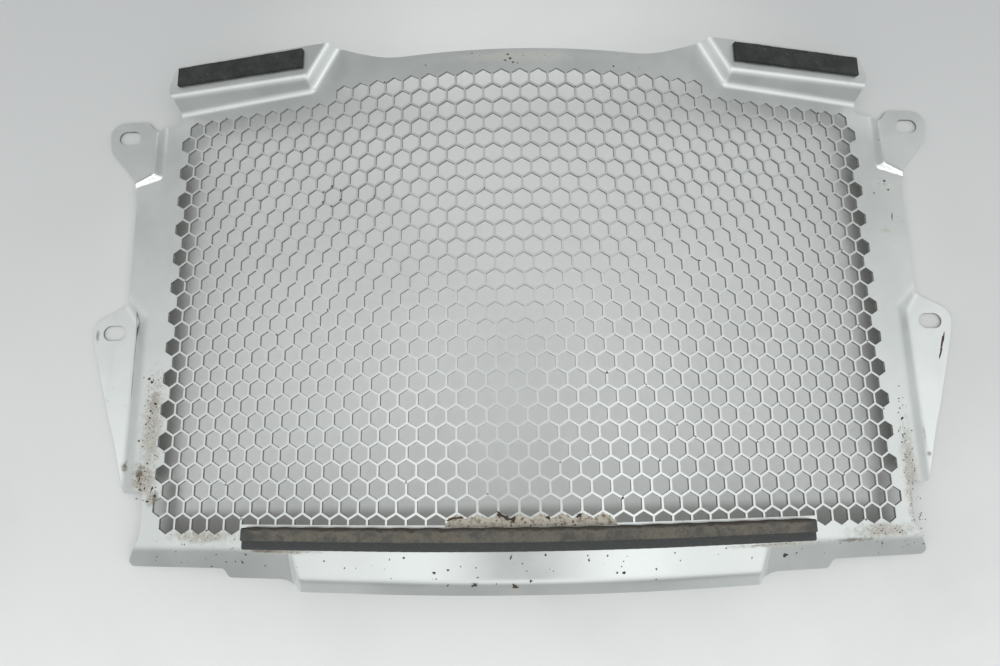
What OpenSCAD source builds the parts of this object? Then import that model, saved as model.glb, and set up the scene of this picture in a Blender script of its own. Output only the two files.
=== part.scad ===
// Motorcycle radiator guard, lying with its radiator side up.
// X runs across the guard, Y toward its upper edge, Z up. The origin is the centre of the base of its bounding box.
// Heights in the modules are measured from the crown of the arched sheet, and plan Y from the mesh's middle row.

/* [Honeycomb mesh] */
// Distance between neighbouring holes along a row, measured along the sheet
pitch = 9; // [8.6:0.1:9]
// Width of metal left between two holes
web = 1; // [0.6:0.1:2]
// Holes in a long row (the rows between have one less)
cells_across = 41; // [31:2:41]
// Rows of holes above the middle row that run the full width
rows_above = 12; // [8:1:12]
// Rows of holes below the middle row
rows_below = 14; // [8:1:14]
// Holes in the short row along the arched upper edge
cells_top_row = 21; // [11:2:21]
// Whole holes at each end of the lowest row; those between are cut off by the foam strip's seat
cells_clear_of_strip = 5; // [2:1:10]

/* [Sheet] */
// Sheet thickness
sheet_t = 1.2; // [0.8:0.1:2]
// Radius of the bend across the middle of the guard
bend_r = 294; // [270:1:340]
// Fall of each flat wing, in mm per mm of width
wing_fall = 0.252; // [0.24:0.002:0.256]
// Slight bend that a wing keeps at each mesh column, in degrees
wing_turn = 0.06; // [0.03:0.01:0.12]
// Half width of the sheet beside the mesh, at the side strips
strip_x = 205; // [200:0.5:208]
// Half width of the sheet below the side tabs
waist_x = 186; // [184:0.5:190]
// Distance of the upper edge from the middle row
edge_top = 116.5; // [112:0.5:120]
// Distance of the side strips' upper end from the middle row
strip_top = 98.5; // [98:0.5:102]

/* [Corner platforms] */
// Half width at which a platform begins, at its lower inner corner
pad_x = 107; // [104:0.5:108]
// Half width at which a platform ends
pad_end_x = 185.4; // [184:0.2:190]
// Distance of the platform's lower fold from the middle row
pad_fold_y = 110; // [108:0.2:113]
// Distance of the platform's upper edge from the middle row
pad_top_y = 127; // [124:0.2:130]
// Height of the platform above the sheet at its inner end
pad_rise = 6.8; // [4:0.1:9]
// Fall of the platform, in mm per mm of width
pad_fall = 0.226; // [0.2:0.002:0.26]
// Slope of the platform's long wall, in degrees
pad_wall_angle = 55; // [45:1:65]
// Slope of the platform's inner end wall, in degrees
pad_end_angle = 66; // [50:1:72]

/* [Mounting ears and tabs] */
// Depth of the four mounting faces below the crown
seat_depth = 44.5; // [43.5:0.1:47]
// Half distance between the two upper slots
ear_x = 213; // [212:0.5:215]
// Height of the upper slots above the middle row
ear_y = 95.2; // [93:0.2:97]
// Half distance between the two lower slots
tab_x = 211.2; // [210:0.2:213]
// Depth of the lower slots below the middle row
tab_y = 14; // [12:0.2:17]
// Width of a slot
slot_w = 8; // [6:0.2:9]
// Length of a slot from end to end
slot_l = 12; // [10:0.2:13]
// Slope of the ramps that step down to the mounting faces, in degrees
ramp_angle = 36; // [28:1:45]

/* [Lower flange] */
// Distance of the flange's fold below the middle row
fold_y = 119.5; // [117:0.5:122]
// Angle by which the flange bends down at each side
flange_angle = 28; // [15:1:29]
// Half width of the level middle platform at the fold
mid_x = 108.2; // [90:0.2:115]
// Distance of the lip's fold below the middle row
lip_y = 132.4; // [130:0.2:134]
// Angle by which the lip bends down
lip_angle = 38; // [20:1:50]
// Distance of the lip's edge below the middle row
edge_bottom = 138.4; // [137:0.2:141]

/* [Foam] */
// Thickness of the two corner pads
pad_foam_t = 1.6; // [1:0.2:6]
// Length of a corner pad
pad_foam_l = 72; // [60:0.5:74]
// Width of a corner pad
pad_foam_w = 10.2; // [6:0.2:11]
// Length of the lower strip
strip_foam_l = 265; // [200:1:272]
// Thickness of the lower strip's raised part
strip_foam_t = 4.5; // [3:0.5:8]
// Thickness of the lower strip's thinner part
strip_foam_low = 3; // [2:0.5:6]
// Width of the lower strip
strip_foam_w = 10.2; // [8:0.1:10.6]

/* [Hidden] */
metal = [0.72, 0.74, 0.73];
foam = [0.1, 0.1, 0.1];

// Folding lines of the middle bend stand on the rows' cell centres, so that each hole has straight walls.
function micron(v) = round(v * 1000) / 1000;
wing_angle = atan(wing_fall);
bends = floor(bend_r * wing_angle * PI / 180 / pitch + 0.5);
all_bends = max(bends, floor((cells_across - 1) / 2));
bend_step = (wing_angle - wing_turn * (all_bends - bends) / 2) / bends;

// Slope of each flat strip, and the plan position and drop of the bend before it, counted from the middle
function turn(n) = n <= bends ? n * bend_step : bends * bend_step + (n - bends) * wing_turn;
function run(n) = n < 1 ? 0 : (n == 1 ? pitch / 2 : run(n - 1) + pitch * cos(turn(n - 1)));
function drop(n) = n <= 1 ? 0 : drop(n - 1) + pitch * sin(turn(n - 1));

far = 260;
deep = 90;
last_run = micron(run(all_bends));
last_drop = micron(drop(all_bends));
arch_half = concat([for (n = [1 : all_bends]) [micron(run(n)), -micron(drop(n))]],
  [[far, -last_drop - (far - last_run) * tan(turn(all_bends))]]);
arch = concat([for (i = [len(arch_half) - 1 : -1 : 0]) [-arch_half[i][0], arch_half[i][1]]], arch_half);

// Height of the arched sheet at a plan position, and the plan position of a point a given way along it
function arch_z(x) = lookup(abs(x), arch_half);
function strip_at(s) = min(floor(abs(s) / pitch + 0.5), all_bends);
function plan_x(s) = let (n = strip_at(s))
  sign(s) * (run(n) + (abs(s) - max(0, n - 0.5) * pitch) * cos(turn(n)));

row_step = micron(pitch * sqrt(3) / 2);
hole_half = (pitch - web) / 2;
hole_tip = micron(hole_half * 2 / sqrt(3));

// Lean of a fold's inner side toward the high side, for two walls facing n1 and n2
function lean(n1, a1, n2, a2) = let (
    k1 = sheet_t * tan(a1 / 2), k2 = sheet_t * tan(a2 / 2), d = n1[0] * n2[1] - n1[1] * n2[0])
    [(k2 * n1[1] - k1 * n2[1]) / d, (k1 * n2[0] - k2 * n1[0]) / d];

// Corner platform, inner edge and facing directions of its walls
pad_edge_in = [96.4, pad_top_y];
pad_dir = pad_edge_in - [pad_x, pad_fold_y];
pad_n = [-pad_dir[1], pad_dir[0]] / norm(pad_dir);
pad_z = arch_z(pad_x) + pad_rise;

// Mounting ears and tabs, the plan corner where each one's two ramps end
ear_corner = [198.5, 73.6];
ear_ramp_n = [0.51, 0.86];
tab_corner = [199.8, -8.6];
tab_ramp_n = [0.84, -0.54];

// Side edge of the level middle part of the flange
mid_low_x = 103;
mid_dir = [mid_low_x - mid_x, fold_y - lip_y];
mid_n = [-mid_dir[1], mid_dir[0]] / norm(mid_dir);
mid_side_angle = 52;

module arch_solid(low, wide) {
  translate([0, wide, 0]) rotate([90, 0, 0]) linear_extrude(height = 2 * wide)
    polygon(concat(arch, [[far, -deep - low], [-far, -deep - low]]));
}

// Ground under the mounting faces, which keeps the ears and tabs level where the wings would fall below them. It
// starts well inside the wings, so that the sheet stays whole where a wing meets the seat plane
seat_x = pad_x;
module seats(depth) {
  translate([seat_x, -150 + depth, -deep + 20]) cube([far, 300 - 2 * depth, deep - 20 - seat_depth]);
}

// Endless wedge with a level floor and one sloping side, high or low
module slope_block(n, shape) {
  rotate([0, 0, atan2(n[1], n[0])]) rotate([90, 0, 0]) translate([0, 0, -far])
    linear_extrude(height = 2 * far) polygon(shape);
}

module step_down(corner, n) {
  high = 30;
  side = [[0, 0], [far, 0], [far, high], [-high / tan(ramp_angle), high]];
  translate([corner[0], corner[1], -seat_depth]) intersection() {
    slope_block([1, 0], side);
    slope_block(n, side);
    translate([pad_end_x + 0.6 - corner[0], -far, -1]) cube([far, 2 * far, 2 * high]);
  }
}

module platform() {
  low = 40;
  translate([pad_x, pad_fold_y, pad_z]) rotate([0, atan(pad_fall), 0]) intersection() {
    slope_block([0, 1], [[-low / tan(pad_wall_angle), -low], [0, 0], [far, 0], [far, -low]]);
    slope_block(-pad_n, [[-low / tan(pad_end_angle), -low], [0, 0], [far, 0], [far, -low]]);
  }
}

module flange_fall() {
  back = 2;
  high = 30;
  translate([mid_x, -fold_y, arch_z(mid_x)]) rotate([0, wing_angle, 0]) intersection() {
    slope_block([0, -1], [[-back, back * tan(flange_angle)], [50, -50 * tan(flange_angle)], [50, high], [-back, high]]);
    slope_block(mid_n, [[-back, back * tan(mid_side_angle)], [20, -20 * tan(mid_side_angle)],
      [far, -20 * tan(mid_side_angle)], [far, high], [-back, high]]);
  }
}

module lip_fall() {
  scaled = [for (p = arch) [p[0], p[1] * cos(lip_angle)]];
  translate([0, -lip_y, 0]) rotate([90 + lip_angle, 0, 0]) translate([0, 0, -60]) linear_extrude(height = 120)
    polygon(concat(scaled, [[far, 60], [-far, 60]]));
}

module both_sides() {
  children();
  mirror([1, 0, 0]) children();
}

// Everything under the sheet's upper face (depth = 0) or under its lower face (depth = 1)
module under(depth) {
  down = -depth * sheet_t;
  pad_lean = depth * lean([0, -1], pad_wall_angle, pad_n, pad_end_angle);
  ear_lean = depth * lean([1, 0], ramp_angle, ear_ramp_n, ramp_angle);
  tab_lean = depth * lean([1, 0], ramp_angle, tab_ramp_n, ramp_angle);
  flange_lean = depth * lean([0, -1], flange_angle, mid_n, mid_side_angle);
  difference() {
    union() {
      translate([0, 0, down]) arch_solid(depth, 160 + depth);
      both_sides() {
        translate([0, 0, down]) seats(depth);
        translate([pad_lean[0], pad_lean[1], down]) platform();
      }
    }
    both_sides() {
      translate([ear_lean[0], ear_lean[1], down]) step_down(ear_corner, ear_ramp_n);
      translate([tab_lean[0], tab_lean[1], down]) step_down(tab_corner, tab_ramp_n);
      translate([flange_lean[0], flange_lean[1], down]) flange_fall();
    }
    translate([0, depth * sheet_t * tan(lip_angle / 2), down]) lip_fall();
  }
}

// Outline of one half of the sheet in plan, from the middle of the upper edge round to the middle of the lower edge
ear_round = [for (a = [90 : -15 : 0]) [215.8 + 8 * cos(a), 96.4 + 8 * sin(a)]];
tab_round = [for (a = [60 : -15 : 0]) [213.4 + 9 * cos(a), -14 + 9 * sin(a)]];
half_outline = concat(
  [[0, edge_top], [62, edge_top], [72, edge_top + 2.3], [84, pad_top_y - 3.6], [90, pad_top_y - 0.8], [94, pad_top_y],
    [pad_end_x - 3.6, pad_top_y], [pad_end_x, 115.5], [pad_end_x - 0.4, 113], [181, 104.5], [182, strip_top - 0.5],
    [198, strip_top], [200.5, strip_top + 2], [203.6, 104.6]],
  ear_round,
  [[222.4, 87], [208.4, 71], [strip_x + 0.6, 62.5], [strip_x, 58], [strip_x - 1, 5], [strip_x + 0.5, 0.5]],
  tab_round,
  [[220.5, -23], [215.6, -40], [211.2, -55], [206.8, -68], [200, -93], [198.5, -94.8], [waist_x + 0.4, -94.8],
    [waist_x - 0.4, -108], [waist_x, -116], [192.2, -125.6], [192.8, -127.4], [191, -129.2],
    [142.2, -129.2], [140, -133.6], [111, -133.6], [104.6, -edge_bottom + 0.8], [102, -edge_bottom], [0, -edge_bottom]]);

module outline() {
  last = len(half_outline) - 1;
  polygon(concat(half_outline, [for (i = [last - 1 : -1 : 1]) [-half_outline[i][0], half_outline[i][1]]]));
}

// One hole in plan; floor_y cuts its lower part off
module hole(s, y, floor_y) {
  x = micron(plan_x(s));
  w = micron((plan_x(s + hole_half) - plan_x(s - hole_half)) / 2);
  top = [[x + w, y + hole_tip / 2], [x, y + hole_tip], [x - w, y + hole_tip / 2]];
  bottom = [[x - w, y - hole_tip / 2], [x, y - hole_tip], [x + w, y - hole_tip / 2]];
  polygon(floor_y > y - hole_tip ? concat(top, [[x - w, floor_y], [x + w, floor_y]]) : concat(top, bottom));
}

module hole_row(row, cells, floor_y = -far) {
  count = cells - (row % 2 == 0 ? 1 : 0);
  for (i = [0 : count - 1]) {
    s = (i - (count - 1) / 2) * pitch;
    clear = i < cells_clear_of_strip || i > count - 1 - cells_clear_of_strip;
    hole(s, -micron(row * row_step), clear ? -far : floor_y);
  }
}

module slot(x, y) {
  straight = slot_l - slot_w;
  translate([x, y]) {
    square([straight, slot_w], center = true);
    for (m = [-1, 1]) translate([m * straight / 2, 0]) circle(d = slot_w, $fn = 96);
  }
}

// Lower edge of the cut-off holes, above the foam strip
seat_gap = 0.8;
strip_foam_y = fold_y + 0.5 - strip_foam_w;
cut_y = -strip_foam_y + seat_gap;

module guard_panel() {
  color(metal) set_down() difference() {
    intersection() {
      difference() {
        under(0);
        under(1);
      }
      translate([0, 0, -70]) linear_extrude(height = 80) outline();
    }
    translate([0, 0, -60]) linear_extrude(height = 70) {
      hole_row(-rows_above - 1, cells_top_row);
      for (row = [-rows_above : rows_below - 1]) hole_row(row, cells_across);
      hole_row(rows_below, cells_across, cut_y);
    }
    translate([0, 0, -60]) linear_extrude(height = 40) for (m = [-1, 1]) {
      slot(m * ear_x, ear_y);
      slot(m * tab_x, -tab_y);
    }
  }
}

// Moves the sheet's own frame to the part's frame
lift = seat_depth + sheet_t;
centre_y = (edge_bottom - pad_top_y) / 2;
module set_down() {
  translate([0, centre_y, lift]) children();
}

// Lower edge of a corner pad, and its distance from the platform's inner fold
pad_foam_y = 115;
pad_foam_start = 2.5;

module pad_foam() {
  color(foam) set_down() translate([pad_x, 0, pad_z]) rotate([0, atan(pad_fall), 0])
    translate([pad_foam_start, pad_foam_y, 0]) cube([pad_foam_l, pad_foam_w, pad_foam_t]);
}

module right_foam_pad() {
  pad_foam();
}

module left_foam_pad() {
  mirror([1, 0, 0]) pad_foam();
}

module foam_layer(y, width, high) {
  end_x = strip_foam_l / 2;
  inside = [for (p = arch) if (abs(p[0]) < end_x) p];
  base = concat([[-end_x, arch_z(end_x)]], inside, [[end_x, arch_z(end_x)]]);
  last = len(base) - 1;
  translate([0, y, 0]) rotate([90, 0, 0]) linear_extrude(height = width)
    polygon(concat(base, [for (i = [last : -1 : 0]) base[i] + [0, high]]));
}

module lower_foam_strip() {
  raised_w = strip_foam_w * 0.6;
  color(foam) set_down() union() {
    foam_layer(-strip_foam_y, strip_foam_w, strip_foam_low);
    foam_layer(-strip_foam_y, raised_w, strip_foam_t);
  }
}

guard_panel();
left_foam_pad();
right_foam_pad();
lower_foam_strip();
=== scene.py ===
"""Motorcycle radiator guard lying on a pale table: one arched honeycomb sheet with three foam strips."""

from __future__ import annotations

import logging
import math

from dataclasses import dataclass, field
from enum import Enum

import bmesh
import bpy
import numpy as np
from mathutils import Matrix, Vector
from mathutils.geometry import delaunay_2d_cdt

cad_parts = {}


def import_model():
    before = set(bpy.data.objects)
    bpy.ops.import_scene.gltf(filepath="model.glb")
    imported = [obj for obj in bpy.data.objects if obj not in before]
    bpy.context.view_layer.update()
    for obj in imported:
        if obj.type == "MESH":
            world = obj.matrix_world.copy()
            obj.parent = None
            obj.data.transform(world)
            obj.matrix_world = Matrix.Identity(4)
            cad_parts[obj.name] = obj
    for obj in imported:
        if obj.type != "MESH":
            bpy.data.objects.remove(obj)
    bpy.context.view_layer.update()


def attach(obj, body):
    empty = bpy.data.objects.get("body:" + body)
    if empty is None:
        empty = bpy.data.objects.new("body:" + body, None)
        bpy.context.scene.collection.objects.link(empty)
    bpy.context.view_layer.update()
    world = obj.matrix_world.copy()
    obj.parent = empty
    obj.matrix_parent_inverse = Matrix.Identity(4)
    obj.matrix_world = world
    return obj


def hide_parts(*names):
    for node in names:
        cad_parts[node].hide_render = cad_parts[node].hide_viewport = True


LOG = logging.getLogger("radiator_guard")
MM = 0.001

Spot = tuple[float, float]
Triple = tuple[float, float, float]
Colour = tuple[float, float, float, float]
Row = tuple[float, ...]
Piece = bpy.types.Object
Socket = bpy.types.NodeSocket


class Side(Enum):
    """The two mirrored sides of the guard."""

    LEFT = -1
    RIGHT = 1


@dataclass(frozen=True)
class Placement:
    """Where the sheet's own frame lies in the part's frame, in millimetres."""

    lift: float = 45.7
    centre_y: float = 5.7

    def to_frame(self, points: np.ndarray) -> np.ndarray:
        """Turns sheet points, one a row and in millimetres, into frame points in metres."""
        return (points + np.array([0.0, self.centre_y, self.lift])) * MM


def soft_min(a: np.ndarray, b: np.ndarray, k: float) -> np.ndarray:
    """Lower of two heights, with the crease between them rounded over k millimetres."""
    h = np.clip(0.5 + 0.5 * (b - a) / k, 0.0, 1.0)
    return b + (a - b) * h - k * h * (1.0 - h)


def soft_max(a: np.ndarray, b: np.ndarray, k: float) -> np.ndarray:
    """Higher of two heights, with the crease rounded as in soft_min."""
    return -soft_min(-a, -b, k)


def round_corners(corners: list[Triple], step: float, most: float = 0.45) -> list[Spot]:
    """Rounds a closed outline's corners and cuts its sides into short steps.

    Args:
        corners: x, y and rounding reach of each corner.
        step: Longest side left, in millimetres.
        most: Largest share of a side that one corner's rounding may take.

    Returns:
        The outline's points in order.
    """
    soft: list[np.ndarray] = []
    for i, (x, y, reach) in enumerate(corners):
        here = np.array([x, y])
        if reach < 0.1:
            soft.append(here)
            continue
        ends = []
        for other in (corners[i - 1], corners[(i + 1) % len(corners)]):
            way = np.array(other[:2]) - here
            ends.append(here + way / np.hypot(*way) * min(reach, np.hypot(*way) * most))
        a, b = ends
        soft += [(1 - t) ** 2 * a + 2 * t * (1 - t) * here + t * t * b for t in (0.0, 0.25, 0.5, 0.75, 1.0)]
    points: list[Spot] = []
    for i, p in enumerate(soft):
        q = soft[(i + 1) % len(soft)]
        parts = max(1, int(math.ceil(np.hypot(*(q - p)) / step)))
        points += [tuple(p + (q - p) * k / parts) for k in range(parts)]
    return points


def arc_points(x: float, y: float, radius: float, degrees: range) -> list[Spot]:
    """Points of an arc in plan, one for each whole number of degrees given."""
    turns = [math.radians(a) for a in degrees]
    return [(x + radius * math.cos(a), y + radius * math.sin(a)) for a in turns]


def stations(length: float, ends: Row, start: float, stop: float, step: float) -> np.ndarray:
    """Places of the rings along a strip, closest together at its rounded ends."""
    close = np.array(ends)
    return np.concatenate([close, np.arange(start, length - stop, step), length - close[::-1]])


def end_pull(radius: float, end: float) -> float:
    """How far a rounded end draws in at this distance from it."""
    return radius - math.sqrt(max(0.0, radius**2 - max(0.0, radius - end) ** 2))


@dataclass
class SheetShape:
    """The pressed sheet's top surface as a height over the plan, in millimetres and degrees.

    A value that ends in round is the width of a rounded fold. The zones bound where a form is worked out.
    """

    pitch: float = 9.0
    bend_step: float = 1.7231
    wing_turn: float = 0.06
    main_strips: int = 8
    last_strip: int = 20
    thickness: float = 1.2
    seat: float = -44.5
    seat_x: float = 107.0
    pad_corner: Spot = (107.0, 110.0)
    pad_inner: Spot = (96.4, 127.0)
    pad_rise: float = 6.8
    pad_fall: float = 0.226
    pad_wall: float = 55.0
    pad_end: float = 66.0
    pad_round: float = 1.5
    pad_foot_round: float = 1.9
    pad_zone: Triple = (80.0, 192.0, 96.0)
    ramp: float = 36.0
    ramp_round: float = 0.8
    seat_round: float = 0.9
    ear_corner: Spot = (198.5, 73.6)
    ear_way: Spot = (0.51, 0.86)
    tab_corner: Spot = (199.8, -8.6)
    tab_way: Spot = (0.84, -0.54)
    seat_zone: Triple = (186.0, 170.0, 100.0)
    fold_y: float = 119.5
    fold_round: float = 0.9
    flange_angle: float = 28.0
    flange_zone_y: float = -110.0
    mid_x: float = 108.2
    mid_low_x: float = 103.0
    mid_fall: float = 0.252
    mid_angle: float = 52.0
    mid_round: float = 0.6
    lip_y: float = 132.4
    lip_angle: float = 38.0
    lip_zone_y: float = -120.0
    section_length: float = 290.0
    section_step: float = 0.25
    arc: np.ndarray = field(init=False, repr=False)

    def __post_init__(self) -> None:
        """Lays out the arch's section once, as lengths along it, plan places and heights."""
        s = np.arange(0.0, self.section_length, self.section_step)
        main = self.main_strips * self.pitch
        wing = np.minimum(s, (self.last_strip + 0.5) * self.pitch) - main
        bend = self.bend_step * self.main_strips
        slope = np.where(s < main, self.bend_step * s / self.pitch, bend + self.wing_turn * wing / self.pitch)
        turn = np.radians(slope)
        x = np.concatenate([[0.0], np.cumsum(np.cos(turn) * self.section_step)[:-1]])
        z = np.concatenate([[0.0], -np.cumsum(np.sin(turn) * self.section_step)[:-1]])
        self.arc = np.stack([s, x, z])

    def arch(self, x: np.ndarray | float) -> np.ndarray:
        """Height of the plain arch over a plan position."""
        return np.interp(np.abs(x), self.arc[1], self.arc[2])

    def plan_x(self, s: float) -> float:
        """Plan position of the point s millimetres along the arch from its middle."""
        return math.copysign(float(np.interp(abs(s), self.arc[0], self.arc[1])), s)

    @staticmethod
    def walls(
        x: np.ndarray, y: np.ndarray, start: float, fall: float, corners: tuple[Spot, Spot], angles: Spot
    ) -> tuple[np.ndarray, np.ndarray, np.ndarray]:
        """Heights of a tilted face and of the two walls that meet at its corner.

        Args:
            x: Plan positions across the guard.
            y: Plan positions toward the upper edge.
            start: The face's height at its corner.
            fall: How much the face falls for each millimetre outward.
            corners: The face's corner, and the other end of its inner edge.
            angles: Steepness of the wall along y and of the wall along the inner edge, in degrees.

        Returns:
            The face, the wall along y and the wall along the inner edge.
        """
        corner, far = np.array(corners)
        slant = math.cos(math.atan(fall))
        along, inner = (math.tan(math.radians(a)) for a in angles)
        face = start - fall * (x - corner[0])
        run = far - corner
        into = np.array([run[1], -run[0]]) / np.hypot(*run)
        way = into[0] * (x - corner[0]) / slant + into[1] * (y - corner[1])
        side = face + inner / (1.0 + into[0] * inner * fall) * way / slant
        return face, face + along * (y - corner[1]) / slant, side

    def platform(self, x: np.ndarray, y: np.ndarray) -> np.ndarray:
        """Height of the raised corner platform and its two walls.

        Args:
            x: Distances from the guard's middle.
            y: Plan positions toward the upper edge.

        Returns:
            Heights measured from the arch's crown.
        """
        start = float(self.arch(self.pad_corner[0])) + self.pad_rise
        ends = (self.pad_corner, self.pad_inner)
        top, front, inner = self.walls(x, y, start, self.pad_fall, ends, (self.pad_wall, self.pad_end))
        return soft_min(soft_min(front, inner, self.pad_round), top, self.pad_round)

    def step(self, x: np.ndarray, y: np.ndarray, corner: Spot, way: Spot) -> np.ndarray:
        """Height of a level mounting face with its two ramps.

        Args:
            x: Distances from the guard's middle.
            y: Plan positions toward the upper edge.
            corner: Where the two ramps reach the face.
            way: Plan direction in which the second ramp falls.

        Returns:
            Heights measured from the arch's crown.
        """
        rise = math.tan(math.radians(self.ramp))
        side = self.seat - rise * (x - corner[0])
        end = self.seat - rise * ((x - corner[0]) * way[0] + (y - corner[1]) * way[1])
        return soft_max(soft_max(side, end, self.ramp_round), np.full_like(x, self.seat), self.seat_round)

    def flange(self, x: np.ndarray, y: np.ndarray) -> np.ndarray:
        """Height of the bent-down flange beside the level middle platform.

        Args:
            x: Distances from the guard's middle.
            y: Plan positions toward the upper edge.

        Returns:
            Heights measured from the arch's crown.
        """
        ends = ((self.mid_x, -self.fold_y), (self.mid_low_x, -self.lip_y))
        start, angles = float(self.arch(self.mid_x)), (self.flange_angle, self.mid_angle)
        _, down, side = self.walls(x, y, start, self.mid_fall, ends, angles)
        return soft_max(down, side, self.mid_round)

    def height(self, x: np.ndarray, y: np.ndarray) -> np.ndarray:
        """Height of the sheet's top surface.

        Args:
            x: Plan positions across the guard.
            y: Plan positions toward the upper edge.

        Returns:
            Heights measured from the arch's crown.
        """
        ax = np.abs(x)
        z = self.arch(ax)
        z = np.where(ax > self.seat_x, np.maximum(z, self.seat), z)
        first, last, above = self.pad_zone
        raised = (y > above) & (ax > first) & (ax < last)
        z = np.where(raised, soft_max(z, self.platform(ax, y), self.pad_foot_round), z)
        outer, inner, below = self.seat_zone
        near = (ax > outer) | ((y < below) & (ax > inner))
        for corner, way in ((self.ear_corner, self.ear_way), (self.tab_corner, self.tab_way)):
            z = np.where(near, soft_min(z, self.step(ax, y, corner, way), self.ramp_round), z)
        z = np.where(y < self.flange_zone_y, soft_min(z, self.flange(ax, y), self.fold_round), z)
        lip = self.arch(ax) + math.tan(math.radians(self.lip_angle)) * (y + self.lip_y)
        return np.where(y < self.lip_zone_y, soft_min(z, lip, self.fold_round), z)

    def normals(self, x: np.ndarray, y: np.ndarray, reach: float = 0.08) -> np.ndarray:
        """Unit normals of the top surface.

        Args:
            x: Plan positions across the guard.
            y: Plan positions toward the upper edge.
            reach: How far to either side the slope is measured, in millimetres.

        Returns:
            One normal a row.
        """
        gx = (self.height(x + reach, y) - self.height(x - reach, y)) / (2 * reach)
        gy = (self.height(x, y + reach) - self.height(x, y - reach)) / (2 * reach)
        n = np.stack([-gx, -gy, np.ones_like(gx)], axis=1)
        return n / np.linalg.norm(n, axis=1)[:, None]


@dataclass
class Honeycomb:
    """The punched mesh: rows of hexagonal holes that follow the arch."""

    shape: SheetShape
    web: float = 1.0
    cells_across: int = 41
    rows_above: int = 12
    rows_below: int = 14
    cells_top_row: int = 21
    clear_of_strip: int = 5
    cut_y: float = -109.0
    uncut: float = -900.0

    def hexagon(self, s: float, y: float, floor_y: float) -> list[Spot]:
        """One hole in plan, cut off below a line.

        Args:
            s: Distance of its middle along the arch.
            y: Plan position of its middle toward the upper edge.
            floor_y: The line below which it is cut off.

        Returns:
            Its corners in order.
        """
        half = (self.shape.pitch - self.web) / 2
        tip = half * 2 / math.sqrt(3)
        x = self.shape.plan_x(s)
        w = (self.shape.plan_x(s + half) - self.shape.plan_x(s - half)) / 2
        top = [(x + w, y + tip / 2), (x, y + tip), (x - w, y + tip / 2)]
        if floor_y > y - tip:
            return top + [(x - w, floor_y), (x + w, floor_y)]
        return top + [(x - w, y - tip / 2), (x, y - tip), (x + w, y - tip / 2)]

    def row(self, row: int, cells: int, floor_y: float) -> list[list[Spot]]:
        """All the holes of one row, in plan.

        Args:
            row: Number of the row, counted downward from the middle one.
            cells: Holes in an odd row. An even row has one hole less.
            floor_y: The line below which its holes are cut off, apart from those at its ends.

        Returns:
            The holes from left to right.
        """
        count = cells - (1 if row % 2 == 0 else 0)
        y = -row * self.shape.pitch * math.sqrt(3) / 2
        holes = []
        for i in range(count):
            clear = i < self.clear_of_strip or i > count - 1 - self.clear_of_strip
            s = (i - (count - 1) / 2) * self.shape.pitch
            holes.append(self.hexagon(s, y, self.uncut if clear else floor_y))
        return holes

    def holes(self) -> list[list[Spot]]:
        """Every hole of the mesh.

        Returns:
            The holes in plan, row by row from the top.
        """
        found = self.row(-self.rows_above - 1, self.cells_top_row, self.uncut)
        for row in range(-self.rows_above, self.rows_below):
            found += self.row(row, self.cells_across, self.uncut)
        return found + self.row(self.rows_below, self.cells_across, self.cut_y)


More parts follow.
